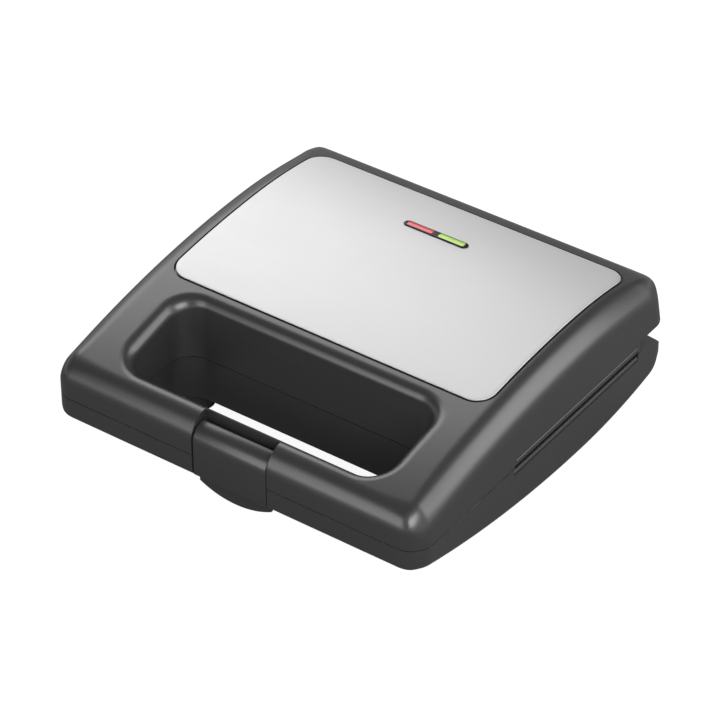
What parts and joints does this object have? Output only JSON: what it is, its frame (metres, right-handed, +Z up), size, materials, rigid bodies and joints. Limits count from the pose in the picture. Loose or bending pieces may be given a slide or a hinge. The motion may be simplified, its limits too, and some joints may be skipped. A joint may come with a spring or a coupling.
{
  "type": "sandwich toaster",
  "caption": "Electric sandwich toaster: two black moulded casings hinged at the back, front carrying handle opening with a spring latch, steel top panel and pilot lamps.",
  "frame": {"origin": "on the table plane, under the middle of the closed toaster", "axes": "+X to the right seen from the handle side, +Y from the handle towards the hinge, +Z up"},
  "size_m": [0.235, 0.238, 0.0847],
  "materials": {
    "casing": "satin black moulded thermoplastic",
    "inner_black": "matt black heat-resistant plastic",
    "non_stick": "aluminium plate with a black non-stick coat",
    "element_sheath": "oxidised steel sheath",
    "plated_steel": "zinc plated steel",
    "bright_sheet": "bright aluminium sheet",
    "ceramic": "fired ceramic",
    "brass": "plain brass",
    "rubber_black": "black rubber",
    "lead_jacket": "silicone lead jacket",
    "glass_sleeve": "woven glass sleeve",
    "satin_steel": "fine satin stainless steel",
    "gloss_black": "gloss black plastic",
    "red_lens": "clear red plastic lens",
    "green_lens": "clear green plastic lens",
    "white_plastic": "white heat-resistant plastic",
    "lamp_glass": "small neon lamp"
  },
  "bodies": {
    "base": {"base_shell": "casing", "base_frame": "inner_black", "base_plate": "non_stick", "base_element": "element_sheath", "base_element_clips": "plated_steel", "base_reflector": "bright_sheet", "base_plate_screws": "plated_steel", "thermostat": "ceramic", "thermal_fuse": "ceramic", "terminal_block": "ceramic", "terminal_screws": "brass", "earth_tag": "brass", "cord_bush": "rubber_black", "foot_front_left": "rubber_black", "foot_front_right": "rubber_black", "foot_rear_left": "rubber_black", "foot_rear_right": "rubber_black", "hinge_pin_left": "plated_steel", "hinge_pin_right": "plated_steel", "base_wiring": "lead_jacket", "base_lead_sleeve": "glass_sleeve"},
    "lid": {"lid_shell": "casing", "lid_frame": "inner_black", "top_panel": "satin_steel", "lamp_bezel": "gloss_black", "power_lens": "red_lens", "ready_lens": "green_lens", "lamp_holder": "white_plastic", "power_lamp": "lamp_glass", "ready_lamp": "lamp_glass", "lid_plate": "non_stick", "lid_element": "element_sheath", "lid_element_clips": "plated_steel", "lid_reflector": "bright_sheet", "lid_plate_screws": "plated_steel", "lid_wiring": "lead_jacket", "lid_lead_sleeve": "glass_sleeve", "latch_pin": "plated_steel", "latch_spring": "plated_steel"},
    "latch": {"latch": "casing"}
  },
  "joints": [
    {"name": "lid_hinge", "type": "hinge", "parent": "base", "child": "lid", "pos_m": [0, 0.1106, 0.0442], "axis": [-1, 0, 0], "range_deg": [0, 100]},
    {"name": "latch_pivot", "type": "hinge", "parent": "lid", "child": "latch", "pos_m": [0, -0.1105, 0.052], "axis": [-1, 0, 0], "range_deg": [0, 20], "stiffness_Nm_per_rad": 0.12, "springref_deg": -8.59}
  ]
}
